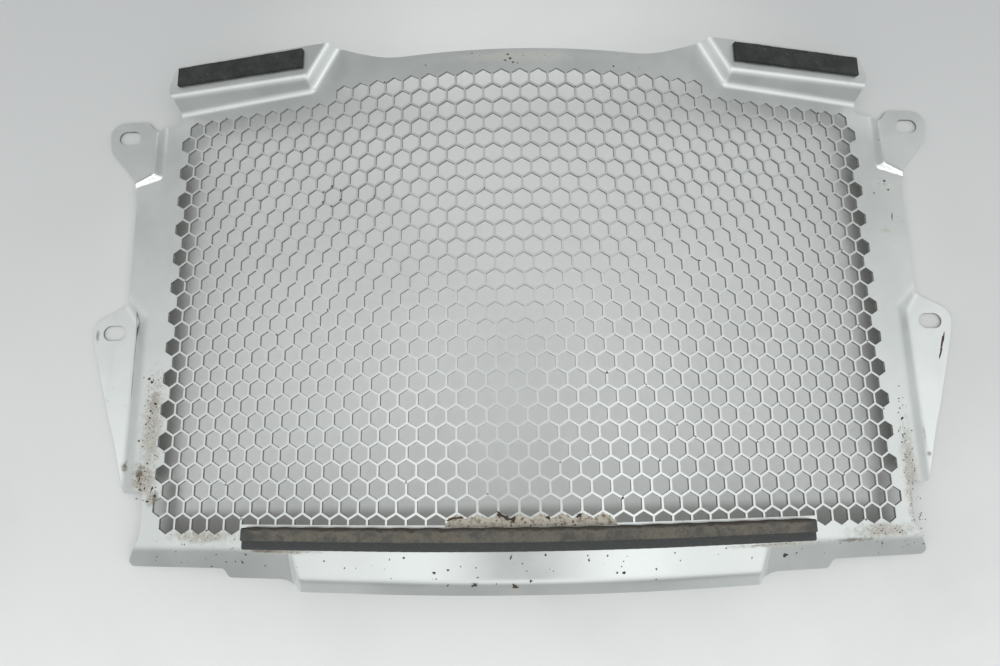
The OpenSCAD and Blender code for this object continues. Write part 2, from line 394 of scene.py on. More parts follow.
@dataclass
class GuardPanel:
    """The sheet itself: outline, mesh, slots, folds and thickness."""

    shape: SheetShape
    place: Placement
    edge_top: float = 116.5
    pad_top: float = 127.0
    edge_bottom: float = 138.4
    strip_x: float = 205.0
    waist_x: float = 186.0
    slots: tuple[Spot, ...] = ((213.0, 95.2), (211.2, -14.0))
    slot_length: float = 12.0
    slot_width: float = 8.0
    outline_step: float = 1.6
    grid: float = 2.3
    fine_grid: float = 1.25
    grid_reach: Row = (-223.0, 223.0, -138.0, 127.0)
    folds: tuple[Row, ...] = (
        (88.0, 187.0, 102.0, 126.8), (186.0, 223.0, 60.0, 104.0), (188.0, 222.0, -95.0, 0.0),
        (-194.0, 194.0, -138.0, -116.5),
    )
    mesh_zone: Triple = (192.0, -116.0, 110.0)
    slot_zone_x: float = 200.0
    edge_clear: float = 0.6
    hole_clear: float = 0.45

    def half_outline(self) -> list[Triple]:
        """One half of the plan outline, from the upper edge's middle round to the lower edge's middle.

        Returns:
            Corners as x, y and how far back from the corner its rounding starts.
        """
        top, pad, low, wide, waist = self.edge_top, self.pad_top, self.edge_bottom, self.strip_x, self.waist_x
        ear = [(x, y, 1.2) for x, y in arc_points(215.8, 96.4, 8, range(90, -1, -10))]
        tab = [(x, y, 1.2) for x, y in arc_points(213.4, -14, 9, range(60, -1, -10))]
        return [
            (0, top, 0), (62, top, 8), (72, top + 2.3, 5), (84, pad - 3.6, 5), (90, pad - 0.8, 2.5),
            (94, pad, 2), (181.8, pad, 1.5), (185.4, 115.5, 2), (185, 113, 1), (181, 104.5, 2.4),
            (182, 98, 2.6), (198, 98.5, 1.5), (200.5, 100.5, 1), (203.6, 104.6, 2), *ear,
            (222.4, 87, 3), (208.4, 71, 5), (wide + 0.6, 62.5, 4), (wide, 58, 2), (wide - 1, 5, 2),
            (wide + 0.5, 0.5, 2.5), *tab, (220.5, -23, 5), (215.6, -40, 4), (211.2, -55, 4), (206.8, -68, 4),
            (200, -93, 1.5), (198.5, -94.8, 1), (waist + 0.4, -94.8, 1.2), (waist - 0.4, -108, 4),
            (waist, -116, 4), (192.2, -125.6, 1.2), (192.8, -127.4, 1), (191, -129.2, 1),
            (142.2, -129.2, 1.6), (140, -133.6, 1.6), (111, -133.6, 3.5), (104.6, -low + 0.8, 2.5),
            (102, -low, 1), (0, -low, 0),
        ]

    def outline(self) -> list[Spot]:
        """The whole plan outline.

        Returns:
            Its points in order.
        """
        right = self.half_outline()
        left = [(-x, y, r) for x, y, r in reversed(right[1:-1])]
        return round_corners(right + left, self.outline_step)

    def slot_loop(self, x: float, y: float) -> list[Spot]:
        """Plan outline of the slot whose middle is given."""
        r, half = self.slot_width / 2, (self.slot_length - self.slot_width) / 2
        return arc_points(x + half, y, r, range(-90, 91, 15)) + arc_points(x - half, y, r, range(90, 271, 15))

    @staticmethod
    def lattice(reach: Row, step: float) -> np.ndarray:
        """A staggered lattice over a rectangle.

        Args:
            reach: The rectangle's first and last x, and its first and last y.
            step: Distance between neighbours.

        Returns:
            One point a row.
        """
        x0, x1, y0, y1 = reach
        rows = []
        for i, y in enumerate(np.arange(y0, y1, step * 0.866)):
            x = np.arange(x0 + (i % 2) * step / 2, x1, step)
            rows.append(np.stack([x, np.full_like(x, y)], axis=1))
        return np.concatenate(rows)

    def filling(self, outline: np.ndarray, holes: list[list[Spot]]) -> np.ndarray:
        """Points spread over the plain metal, closer together where its folds have to come out round.

        Args:
            outline: The outline's points, one a row.
            holes: All the holes in plan.

        Returns:
            Points that keep clear of every edge.
        """
        coarse = self.lattice(self.grid_reach, self.grid)
        areas = [coarse]
        in_folds = np.zeros(len(coarse), bool)
        for fold in self.folds:
            x0, x1, y0, y1 = fold
            patch = self.lattice(fold, self.fine_grid)
            both = x0 > 0
            areas += [patch, patch * np.array([-1.0, 1.0])] if both else [patch]
            x, y = (np.abs(coarse[:, 0]) if both else coarse[:, 0]), coarse[:, 1]
            in_folds |= (x > x0) & (x < x1) & (y > y0) & (y < y1)
        areas[0] = coarse[~in_folds]
        points = np.concatenate(areas)
        points = points[self.inside(points, outline) & (self.distance(points, outline) > self.edge_clear)]
        x, y = points.T
        wide, low, high = self.mesh_zone
        holed = ((np.abs(x) < wide) & (y > low) & (y < high)) | (np.abs(x) > self.slot_zone_x)
        close = np.zeros(len(points), bool)
        for loop in map(np.array, holes):
            centre = loop.mean(axis=0)
            reach = np.hypot(*(loop - centre).T).max() + self.hole_clear
            close |= holed & (np.hypot(x - centre[0], y - centre[1]) < reach)
        return points[~close]

    @staticmethod
    def inside(points: np.ndarray, loop: np.ndarray) -> np.ndarray:
        """Tells which points lie inside a closed loop.

        Args:
            points: The points, one a row.
            loop: The loop's corners, one a row.

        Returns:
            True for each point inside.
        """
        x, y = points.T
        found = np.zeros(len(points), bool)
        for (x0, y0), (x1, y1) in zip(loop, np.roll(loop, -1, axis=0)):
            crosses = (y0 > y) != (y1 > y)
            found ^= crosses & (x < (x1 - x0) * (y - y0) / (y1 - y0 + 1e-12) + x0)
        return found

    @staticmethod
    def distance(points: np.ndarray, loop: np.ndarray) -> np.ndarray:
        """Distance of each point from the nearest corner of a loop.

        Args:
            points: The points, one a row.
            loop: The loop's corners, one a row.

        Returns:
            One distance a point.
        """
        best = np.full(len(points), np.inf)
        for corner in loop:
            best = np.minimum(best, np.hypot(*(points - corner).T))
        return best

    def build(self) -> Piece:
        """Makes the sheet: its plan is cut into triangles, raised to the top face and closed by an underside.

        Returns:
            The panel, with true thickness and round folds.
        """
        outline = self.outline()[::-1]
        holes = Honeycomb(self.shape).holes()
        holes += [self.slot_loop(m * x, y) for x, y in self.slots for m in (-1, 1)]
        fill = self.filling(np.array(outline), holes)
        plan, loops = list(outline), [list(range(len(outline)))]
        for hole in holes:
            loops.append(list(range(len(plan), len(plan) + len(hole))))
            plan += hole
        plan += [tuple(p) for p in fill]
        verts, _, tris, _, _, origins = delaunay_2d_cdt([Vector(p) for p in plan], [], loops, 1, 1e-6)
        tris = [t for t, o in zip(tris, origins) if list(o) == [0]]
        x, y = np.array([tuple(v) for v in verts]).T
        top = np.stack([x, y, self.shape.height(x, y)], axis=1)
        low = top - self.shape.normals(x, y) * self.shape.thickness
        low[:, 2] = np.maximum(low[:, 2], -self.place.lift)
        low[:, 1] = np.clip(low[:, 1], -self.edge_bottom, self.pad_top)
        edges = dict.fromkeys((a, b) for t in tris for a, b in zip(t, t[1:] + t[:1]))
        rim = [(a, b) for a, b in edges if (b, a) not in edges]
        n = len(top)
        LOG.info("sheet plan: %d points, %d triangles, %d rim edges", n, len(tris), len(rim))
        polys = [list(t) for t in tris] + [[a + n for a in reversed(t)] for t in tris]
        polys += [[b, a, a + n, b + n] for a, b in rim]
        used = sorted({i for p in polys for i in p})
        index = {old: new for new, old in enumerate(used)}
        points = self.place.to_frame(np.concatenate([top, low])[used])
        mesh = bpy.data.meshes.new("guard_sheet")
        mesh.from_pydata(points.tolist(), [], [[index[i] for i in p] for p in polys])
        # The rim and hole walls take the second material, whose dark colour is partly painted shade.
        mesh.polygons.foreach_set("material_index", [0] * (2 * len(tris)) + [1] * len(rim))
        corners = [pair for a, b in rim for pair in ((a, b), (a + n, b + n), (a, a + n))]
        hard = {frozenset((index[a], index[b])) for a, b in corners}
        sharp = mesh.attributes.new("sharp_edge", "BOOLEAN", "EDGE")
        sharp.data.foreach_set("value", [frozenset(e.vertices) in hard for e in mesh.edges])
        mesh.shade_smooth()
        mesh.update()
        return linked("guard_sheet", mesh)


def linked(name: str, mesh: bpy.types.Mesh) -> Piece:
    """Puts a mesh into the scene.

    Args:
        name: Name of the piece.
        mesh: Its mesh.

    Returns:
        The piece.
    """
    piece = bpy.data.objects.new(name, mesh)
    bpy.context.scene.collection.objects.link(piece)
    return piece


def skin(name: str, rings: list[np.ndarray], crease: float = 50.0) -> Piece:
    """Joins rings of points into one closed skin.

    Args:
        name: Name of the piece.
        rings: Rings of as many points each, one after another, in metres.
        crease: Angle in degrees from which an edge stays sharp.

    Returns:
        The closed piece, smooth along its sides.
    """
    n = len(rings[0])
    faces = [[r * n + i, r * n + (i + 1) % n, (r + 1) * n + (i + 1) % n, (r + 1) * n + i]
             for r in range(len(rings) - 1) for i in range(n)]
    last = (len(rings) - 1) * n
    faces += [list(range(n - 1, -1, -1)), list(range(last, last + n))]
    mesh = bpy.data.meshes.new(name)
    mesh.from_pydata(np.concatenate(rings).tolist(), [], faces)
    work = bmesh.new()
    work.from_mesh(mesh)
    bmesh.ops.recalc_face_normals(work, faces=work.faces)
    work.to_mesh(mesh)
    work.free()
    mesh.shade_smooth()
    mesh.set_sharp_from_angle(angle=math.radians(crease))
    return linked(name, mesh)


@dataclass
class FoamPad:
    """A foam strip stuck on one corner platform."""

    side: Side
    shape: SheetShape
    place: Placement
    length: float = 72.0
    width: float = 10.2
    height: float = 1.6
    start_x: float = 2.5
    start_y: float = 115.0
    soft_edge: float = 0.18
    foot_edge: float = 0.3

    def build(self) -> Piece:
        """Makes the foam strip, a little uneven from handling.

        Returns:
            The strip.
        """
        foot, soft, side = self.foot_edge, self.soft_edge, self.side.value
        wide, high = self.width, self.height
        section = [(0, 0, foot), (wide, 0, foot), (wide, high, soft), (0, high, soft)]
        profile = np.array(round_corners(section, 0.5))
        middle = np.array([wide / 2, high / 2])
        tilt = math.atan(self.shape.pad_fall)
        top_x = self.shape.pad_corner[0]
        top_z = float(self.shape.arch(top_x)) + self.shape.pad_rise
        rings = []
        for t in stations(self.length, (0.0, 0.12, 0.35, 0.7), 1.2, 1.0, 1.1):
            pull = end_pull(soft, min(t, self.length - t))
            wave = 0.05 + 0.04 * math.sin(0.31 * t + side) + 0.02 * math.sin(1.13 * t + 2.0)
            sink = 0.05 + 0.04 * math.sin(0.23 * t + 1.3 * side) + 0.02 * math.sin(0.9 * t)
            keep = 1.0 - (pull * 0.8 + np.array([wave, sink])) / middle
            ring = middle + (profile - middle) * keep
            across, up = ring[:, 0], ring[:, 1] - ring[:, 1].min()
            along = self.start_x + t
            x = top_x + along * math.cos(tilt) + up * math.sin(tilt)
            z = top_z - along * math.sin(tilt) + up * math.cos(tilt)
            rings.append(self.place.to_frame(np.stack([side * x, self.start_y + across, z], axis=1)))
        return skin(f"{self.side.name.lower()}_foam_strip", rings)


@dataclass
class LowerStrip:
    """The long foam strip along the lower border, thicker along its upper side."""

    shape: SheetShape
    place: Placement
    length: float = 265.0
    top_y: float = -109.8
    width: float = 10.2
    full_height: float = 4.5
    step_height: float = 3.0
    thick_share: float = 0.6
    end_round: float = 0.9
    lift: float = 0.02

    def build(self) -> Piece:
        """Makes the strip so that it follows the arch.

        Returns:
            The strip.
        """
        step_v = self.width * (1 - self.thick_share)
        corners = [
            (0, 0, 0.3), (0, self.step_height, 1.0), (step_v, self.step_height, 0.35),
            (step_v, self.full_height, 0.8), (self.width, self.full_height, 0.9), (self.width, 0, 0.3),
        ]
        profile = np.array(round_corners(corners, 0.55))
        centre = np.array([self.width / 2, self.step_height / 2])
        half_size = np.array([self.width, self.full_height]) / 2
        reach = 0.4
        rings = []
        for t in stations(self.length, (0.0, 0.15, 0.45, 0.9), 1.5, 1.2, 1.25):
            s = t - self.length / 2
            pull = end_pull(self.end_round, min(t, self.length - t))
            waves = 0.10 * math.sin(0.7 * s + 0.4), 0.07 * math.sin(1.9 * s), 0.05 * math.sin(3.3 * s + 1.0)
            rough = abs(sum(waves))
            keep = 1.0 - (pull * 0.7 + np.array([0.12 + 0.5 * rough, 0.10 + 0.6 * rough])) / half_size
            ring = centre + (profile - centre) * keep
            upper_side = ring[:, 0] > self.width * 0.9
            across = ring[:, 0] + (0.12 * math.sin(0.45 * s + 2.0) - 0.12) * upper_side
            up = ring[:, 1] - ring[:, 1].min()
            x = self.shape.plan_x(s)
            rise = float(self.shape.arch(x + reach) - self.shape.arch(x - reach))
            slope = math.atan2(rise, 2 * reach)
            px = x - up * math.sin(slope)
            pz = float(self.shape.arch(x)) + self.lift + up * math.cos(slope)
            rings.append(self.place.to_frame(np.stack([px, self.top_y - self.width + across, pz], axis=1)))
        return skin("long_foam_strip", rings)


@dataclass
class Residue:
    """Dried filler that shows in the lowest row of holes above the long strip."""

    shape: SheetShape
    place: Placement
    reach: Spot = (-36.6, 37.4)
    y_low: float = -109.9
    y_high: float = -103.2
    zigzag: float = 2.2
    top_gap: float = -0.1
    sink: float = -0.25
    depth: float = 1.7
    step: float = 0.45
    lumps: int = 150
    tallest: float = 0.75
    edge_fall: float = 1.3

    def build(self) -> Piece:
        """Makes the lumpy slab that lies among the holes.

        Returns:
            The slab.
        """
        rng = np.random.default_rng(7)
        first, last = self.reach
        share = np.linspace(0.0, 1.0, 17)
        lumps = rng.uniform(0, 1, (self.lumps, 3))
        rings = []
        for x in np.arange(first, last + self.step / 2, self.step):
            web = abs((x / self.shape.pitch) % 1.0 - 0.5) * 2.0
            high = self.y_high - self.zigzag * web
            high -= 0.5 * abs(math.sin(1.9 * x + 0.5)) + 0.4 * math.sin(4.1 * x) ** 2
            high -= 2.0 * max(0.0, 1.0 - min(x - first, last - x) / 3.0)
            y = self.y_low + (high - self.y_low) * share
            bump = np.zeros_like(y)
            for across, up, size in lumps:
                cx = first + across * (last - first)
                cy = self.y_low + up * (self.y_high - self.y_low)
                away = ((x - cx) ** 2 + (y - cy) ** 2) / (0.35 + 0.8 * size) ** 2
                bump += (0.15 + 0.3 * size) * np.exp(-away)
            base = float(self.shape.arch(x)) - self.top_gap
            top = base + np.minimum(bump, self.tallest) - self.sink - self.edge_fall * share**5
            bottom = np.full_like(top, base - self.depth)
            across = np.full_like(y, x)
            ring = np.concatenate([np.stack([across, y, top], 1), np.stack([across, y, bottom], 1)[::-1]])
            rings.append(self.place.to_frame(ring))
        return skin("dried_filler", rings)


@dataclass(frozen=True)
class Speck:
    """One dried splash: plan place, half length and half width, turn in degrees, and lift off the sheet."""

    x: float
    y: float
    long: float
    wide: float
    turn: float = 0.0
    lift: float = 0.0


@dataclass
class DriedMud:
    """Dried splashes and small stuck bits, as low domes on the sheet.

    Each of the splashes is a Speck's values. Each strand is a width, a lift and the plan points it follows.
    Each zone is its first and last x, its first and last y, and how many small bits lie in it.
    """

    shape: SheetShape
    place: Placement
    splashes: tuple[Row, ...] = (
        (-4.7, 111.2, 0.9, 0.6), (-5.6, 113.4, 0.6, 0.45), (-3.3, 109.0, 0.6, 0.4), (-7.1, 110.2, 0.7, 0.4),
        (-41.3, -128.5, 0.7, 0.6), (-23.9, -133.4, 1.3, 0.9, 20), (-7.1, -134.0, 1.3, 0.8, -15),
        (-0.3, -131.9, 0.8, 0.6), (39.2, -129.6, 0.7, 0.6), (36.2, -129.5, 0.5, 0.4), (6.2, -121.5, 0.5, 0.4),
        (24.4, -124.0, 0.5, 0.5), (116.8, -126.2, 1.4, 1.0, 30), (-8.5, -122.1, 1.2, 0.3, 70),
        (-54.4, -122.5, 0.5, 0.4), (-35.3, -127.3, 0.5, 0.4), (-186.0, -40.5, 0.8, 0.7),
        (-185.6, -58.5, 0.7, 0.5), (-187.6, -61.4, 0.6, 0.5), (-190.0, -86.5, 0.7, 0.5),
        (-188.0, -93.0, 0.7, 0.5), (196.2, 41.4, 1.9, 0.35, 82), (-189.0, 121.6, 0.8, 0.5),
        (-156.0, 121.0, 0.6, 0.4), (-121.0, 115.6, 0.5, 0.4), (-139.0, 120.5, 0.5, 0.4),
        (-187.6, -38.9, 1.0, 0.7, 20), (-182.9, -51.6, 0.9, 0.6), (-185.5, -55.0, 0.7, 0.5),
        (-190.8, -69.6, 0.6, 0.5), (-181.2, -92.8, 1.1, 0.7, 60), (-179.2, -96.1, 0.8, 0.6),
        (-177.6, -99.3, 0.9, 0.5, 40), (-183.4, -98.6, 0.7, 0.4), (7.5, -106.1, 0.9, 0.6, 0, 0.75),
        (20.9, -105.7, 1.0, 0.6, 30, 0.75), (19.0, -109.2, 0.7, 0.5, 0, 0.75), (186.7, -48.4, 0.5, 0.4),
        (185.4, -59.4, 0.5, 0.4), (186.0, -64.5, 0.8, 0.6, 40), (190.6, -70.4, 0.5, 0.4),
        (196.0, 86.6, 0.5, 0.4), (194.2, 61.3, 0.7, 0.5), (196.0, 56.5, 0.6, 0.5), (186.9, 53.9, 0.5, 0.4),
    )
    strands: tuple[tuple[float, float, tuple[Spot, ...]], ...] = (
        (0.75, 0.75, ((-14.2, -103.7), (-11.6, -105.4), (-8.3, -106.9), (-5.7, -106.3))),
        (0.45, 0.75, ((-35.5, -106.8), (-32.3, -105.8), (-29.2, -106.0))),
        (0.55, 0.02, ((217.4, -21.0), (215.4, -27.4), (213.6, -33.7))),
        (0.10, 0.02, ((-199.6, -10.0), (-199.6, -34.0), (-199.4, -46.5))),
    )
    zones: tuple[tuple[int, ...], ...] = (
        (-192, -176, -100, -34, 64), (183, 191, -116, -52, 50), (160, 192, -126, -111, 30),
        (-178, -132, -127, -110, 34), (-60, 60, -134, -122, 22), (60, 170, -128, -120, 12),
        (-150, -60, -130, -121, 12), (-60, 60, 107, 115, 8),
    )
    ringed_hole: Spot = (-94.0, 47.5)
    hole_clear: float = 5.0
    around: int = 12
    levels: tuple[Spot, ...] = ((1.0, -0.06), (0.95, 0.05), (0.55, 0.14))

    def along_strands(self) -> list[Speck]:
        """Long bits that follow the strands.

        Returns:
            One bit for each stretch between two of a strand's points.
        """
        return [
            Speck((x0 + x1) / 2, (y0 + y1) / 2, math.hypot(x1 - x0, y1 - y0) * 0.56, wide,
                  math.degrees(math.atan2(y1 - y0, x1 - x0)), lift)
            for wide, lift, path in self.strands
            for (x0, y0), (x1, y1) in zip(path, path[1:])
        ]

    def scattered(self) -> list[Speck]:
        """Small bits strewn over the dirtier stretches.

        Returns:
            The bits.
        """
        rng = np.random.default_rng(21)
        bits = []
        for x0, x1, y0, y1, count in self.zones:
            for _ in range(count):
                size = rng.uniform(0.12, 0.36)
                x, y = rng.uniform(x0, x1), rng.uniform(y0, y1)
                bits.append(Speck(x, y, size * rng.uniform(1.0, 1.7), size, rng.uniform(0, 180)))
        return bits

    def on_webs(self, holes: np.ndarray) -> list[Speck]:
        """Bits stuck where three holes meet, most of them toward the sides.

        Args:
            holes: Middles of the holes in plan.

        Returns:
            The bits, with a ring of them round one hole.
        """
        rng = np.random.default_rng(11)
        reach = self.shape.pitch / math.sqrt(3)
        bits = []
        for x, y in holes:
            if rng.uniform() < 0.03 + 0.10 * max(0.0, (abs(x) - 120) / 70) + 0.04 * (y < -60):
                a = math.radians(30 + 60 * rng.integers(0, 6))
                size = rng.uniform(0.22, 0.5)
                long, turn = size * rng.uniform(1, 1.5), rng.uniform(0, 180)
                bits.append(Speck(x + reach * math.cos(a), y + reach * math.sin(a), long, size, turn))
        rx, ry = holes[np.argmin(np.hypot(*(holes - self.ringed_hole).T))]
        bits += [Speck(x, y, 0.75, 0.45, 90 + 60 * k)
                 for k, (x, y) in enumerate(arc_points(rx, ry, reach, range(30, 360, 60)))]
        return bits

    def build(self, holes: np.ndarray) -> Piece:
        """Makes all the specks as one piece.

        Args:
            holes: Middles of the holes in plan, which bits that lie on the sheet keep away from.

        Returns:
            The specks, each a closed dome.
        """
        rng = np.random.default_rng(3)
        verts: list[list[float]] = []
        faces: list[list[int]] = []
        n = self.around
        loose = [Speck(*values) for values in self.splashes] + self.along_strands() + self.scattered()
        loose = [s for s in loose if s.lift > 0
                 or np.min(np.hypot(*(holes - (s.x, s.y)).T)) > self.hole_clear + s.long * 0.5]
        for speck in loose + self.on_webs(holes):
            turn = math.radians(speck.turn)
            start = len(verts)
            lobes = 1.0 + 0.36 * rng.standard_normal(n).clip(-1.5, 1.5)
            for level, (share, lift) in enumerate(self.levels):
                for i in range(n):
                    a = math.tau * i / n
                    u = math.cos(a) * speck.long * lobes[i] * share
                    v = math.sin(a) * speck.wide * lobes[i] * share
                    px = speck.x + u * math.cos(turn) - v * math.sin(turn)
                    py = speck.y + u * math.sin(turn) + v * math.cos(turn)
                    pz = float(self.shape.height(np.array([px]), np.array([py]))[0])
                    verts.append([px, py, pz + speck.lift + lift * (0.6 + 0.5 * speck.wide)])
                if level:
                    a0, b0 = start + (level - 1) * n, start + level * n
                    faces += [[a0 + i, a0 + (i + 1) % n, b0 + (i + 1) % n, b0 + i] for i in range(n)]
            faces.append([start + 2 * n + i for i in range(n)])
            faces.append([start + n - 1 - i for i in range(n)])
        mesh = bpy.data.meshes.new("dried_specks")
        mesh.from_pydata(self.place.to_frame(np.array(verts)).tolist(), [], faces)
        mesh.shade_smooth()
        return linked("dried_specks", mesh)


class Tree:
    """Builds one node tree in short calls. A value is a constant or the output that feeds the input."""

    def __init__(self, tree: bpy.types.NodeTree) -> None:
        """Starts on an empty tree."""
        self.tree = tree
        self.tree.nodes.clear()

    def add(self, kind: str, values: dict | None = None, **settings: object) -> bpy.types.Node:
        """Adds a node.

        Args:
            kind: Blender's name of the node's type.
            values: What goes in each input.
            settings: The node's own options.

        Returns:
            The new node.
        """
        node = self.tree.nodes.new(kind)
        for name, value in settings.items():
            setattr(node, name, value)
        for name, value in (values or {}).items():
            if isinstance(value, Socket):
                self.tree.links.new(value, node.inputs[name])
            else:
                node.inputs[name].default_value = value
        return node

    def math(self, operation: str, *values: object) -> Socket:
        """Output of one Math node."""
        return self.add("ShaderNodeMath", dict(enumerate(values)), operation=operation).outputs[0]

    def product(self, first: object, *others: object) -> Socket:
        """Output of a chain of Math nodes that multiplies the values.

        Args:
            first: The first value.
            others: The values that it is multiplied by, one after another.

        Returns:
            The chain's output.
        """
        for other in others:
            first = self.math("MULTIPLY", first, other)
        return first

    def vector(self, operation: str, *values: object) -> Socket:
        """Output of one Vector Math node."""
        node = self.add("ShaderNodeVectorMath", dict(enumerate(values)), operation=operation)
        return node.outputs["Value" if operation == "LENGTH" else "Vector"]

    def axes(self, vector: Socket) -> bpy.types.NodeOutputs:
        """The x, y and z of a vector."""
        return self.add("ShaderNodeSeparateXYZ", {0: vector}).outputs

    def blend(self, mask: object, a: object, b: object) -> Socket:
        """Output colour that goes from a to b with the mask."""
        return self.add("ShaderNodeMix", {0: mask, 6: a, 7: b}, data_type="RGBA").outputs[2]

    def remap(
        self, value: object, low: float, high: float, to_low: float = 0.0, to_high: float = 1.0
    ) -> Socket:
        """Output of one smooth Map Range node."""
        values = {0: value, 1: low, 2: high, 3: to_low, 4: to_high}
        return self.add("ShaderNodeMapRange", values, interpolation_type="SMOOTHSTEP").outputs[0]

    def fade(self, value: object, low: float, high: float) -> Socket:
        """Output that falls smoothly from one to zero."""
        return self.remap(value, low, high, 1.0, 0.0)

    def noise(self, vector: object, scale: object, detail: float = 3.0, roughness: float = 0.55) -> Socket:
        """Value output of one Noise Texture node."""
        values = {"Vector": vector, "Scale": scale, "Detail": detail, "Roughness": roughness}
        return self.add("ShaderNodeTexNoise", values).outputs[0]


class Effects:
    """The shared effects, each a node group that is built once."""

    def __init__(self) -> None:
        """Builds every effect."""
        self.patch = self.make_patch()
        self.speckle = self.make_speckle()
        self.grain = self.make_grain()

    @staticmethod
    def start(name: str, inputs: dict[str, object]) -> tuple[Tree, bpy.types.NodeOutputs]:
        """Begins a group with one output named Mask.

        Args:
            name: Name of the effect.
            inputs: Name and default of each input. A float makes a number input, and the rest are vectors.

        Returns:
            The tree, and the group's inputs as outputs to draw from.
        """
        group = bpy.data.node_groups.new(name, "ShaderNodeTree")
        for label, default in inputs.items():
            kind = "NodeSocketFloat" if isinstance(default, float) else "NodeSocketVector"
            socket = group.interface.new_socket(name=label, in_out="INPUT", socket_type=kind)
            if default is not None:
                socket.default_value = default
        group.interface.new_socket(name="Mask", in_out="OUTPUT", socket_type="NodeSocketFloat")
        tree = Tree(group)
        return tree, tree.add("NodeGroupInput").outputs

    @staticmethod
    def end(tree: Tree, mask: Socket) -> bpy.types.NodeTree:
        """Sends the mask out of the group."""
        tree.add("NodeGroupOutput", {"Mask": mask})
        return tree.tree

    def make_patch(self) -> bpy.types.NodeTree:
        """An oval film that fades outward and is broken up like dried splashes.

        Returns:
            The group.
        """
        tree, given = self.start("soft_patch", {
            "Vector": None, "Centre": (0, 0, 0), "Reach": (1, 1, 1), "Breakup": 0.3, "Detail Scale": 300.0,
        })
        away = tree.vector("SUBTRACT", given["Vector"], given["Centre"])
        share = tree.vector("DIVIDE", away, given["Reach"])
        far = tree.vector("LENGTH", tree.vector("MULTIPLY", share, (1, 1, 0)))
        rough = tree.noise(given["Vector"], given["Detail Scale"], 5.0, 0.65)
        fade = tree.fade(far, 0.1, 1.15)
        thin = tree.product(tree.math("SUBTRACT", 1.0, fade), given["Breakup"])
        broken = tree.remap(tree.math("SUBTRACT", rough, thin), 0.2, 0.52)
        return self.end(tree, tree.product(broken, fade))

    def make_speckle(self) -> bpy.types.NodeTree:
        """Small separate dots, of which only some show.

        Returns:
            The group.
        """
        tree, given = self.start("speckle", {"Vector": None, "Scale": 800.0, "Size": 0.3, "Share": 0.3})
        cells = tree.add("ShaderNodeTexVoronoi", {"Vector": given["Vector"], "Scale": given["Scale"]}).outputs
        pick = tree.add("ShaderNodeSeparateColor", {0: cells["Color"]}).outputs
        shown = tree.math("LESS_THAN", pick[0], given["Share"])
        size = tree.product(given["Size"], tree.math("ADD", pick[1], 0.4))
        return self.end(tree, tree.product(shown, tree.math("LESS_THAN", cells["Distance"], size)))

    def make_grain(self) -> bpy.types.NodeTree:
        """Fine uneven grain, longer one way than the other.

        Returns:
            The group.
        """
        tree, given = self.start("fine_grain", {"Vector": None, "Stretch": (1, 1, 1), "Scale": 900.0})
        long = tree.vector("MULTIPLY", given["Vector"], given["Stretch"])
        return self.end(tree, tree.noise(long, given["Scale"], 4.0, 0.6))


class Surface(Tree):
    """A material's node tree, with the place on the surface and the shared effects at hand."""

    def __init__(self, tree: bpy.types.NodeTree, effects: Effects) -> None:
        """Starts on an empty tree."""
        super().__init__(tree)
        self.effects = effects
        self.where = self.add("ShaderNodeTexCoord").outputs["Object"]

    def effect(self, group: bpy.types.NodeTree, values: dict) -> Socket:
        """Mask of a shared effect."""
        return self.add("ShaderNodeGroup", {"Vector": self.where, **values}, node_tree=group).outputs[0]

    def grain(self, scale: float, stretch: Triple = (1, 1, 1)) -> Socket:
        """Mask of the fine grain."""
        return self.effect(self.effects.grain, {"Stretch": stretch, "Scale": scale})

    def speckle(self, scale: float, size: float, share: float) -> Socket:
        """Mask of the small dots."""
        return self.effect(self.effects.speckle, {"Scale": scale, "Size": size, "Share": share})

    def cloud(self, scale: float, detail: float, roughness: float) -> Socket:
        """Broad uneven noise over the surface."""
        return self.noise(self.where, scale, detail, roughness)

    def bump(self, strength: float, distance: float, height: Socket) -> Socket:
        """Normal that follows a height."""
        values = {"Strength": strength, "Distance": distance, "Height": height}
        return self.add("ShaderNodeBump", values).outputs[0]


@dataclass(frozen=True)
class Finish:
    """A named finish. Each kind says what feeds the inputs of its own Principled shader."""

    name: str

    def surface(self, tree: Surface) -> dict:
        """What feeds each input of the shader."""
        raise NotImplementedError

    def build(self, effects: Effects) -> bpy.types.Material:
        """Makes the material.

        Args:
            effects: The shared effects.

        Returns:
            The material.
        """
        material = bpy.data.materials.new(self.name)
        material.use_nodes = True
        tree = Surface(material.node_tree, effects)
        shader = tree.add("ShaderNodeBsdfPrincipled", self.surface(tree))
        tree.add("ShaderNodeOutputMaterial", {0: shader.outputs[0]})
        return material


@dataclass(frozen=True)
class Smudge:
    """A stained patch on the sheet: plan middle, half sizes, and how strongly it shows."""

    x: float
    y: float
    half_x: float
    half_y: float
    depth: float


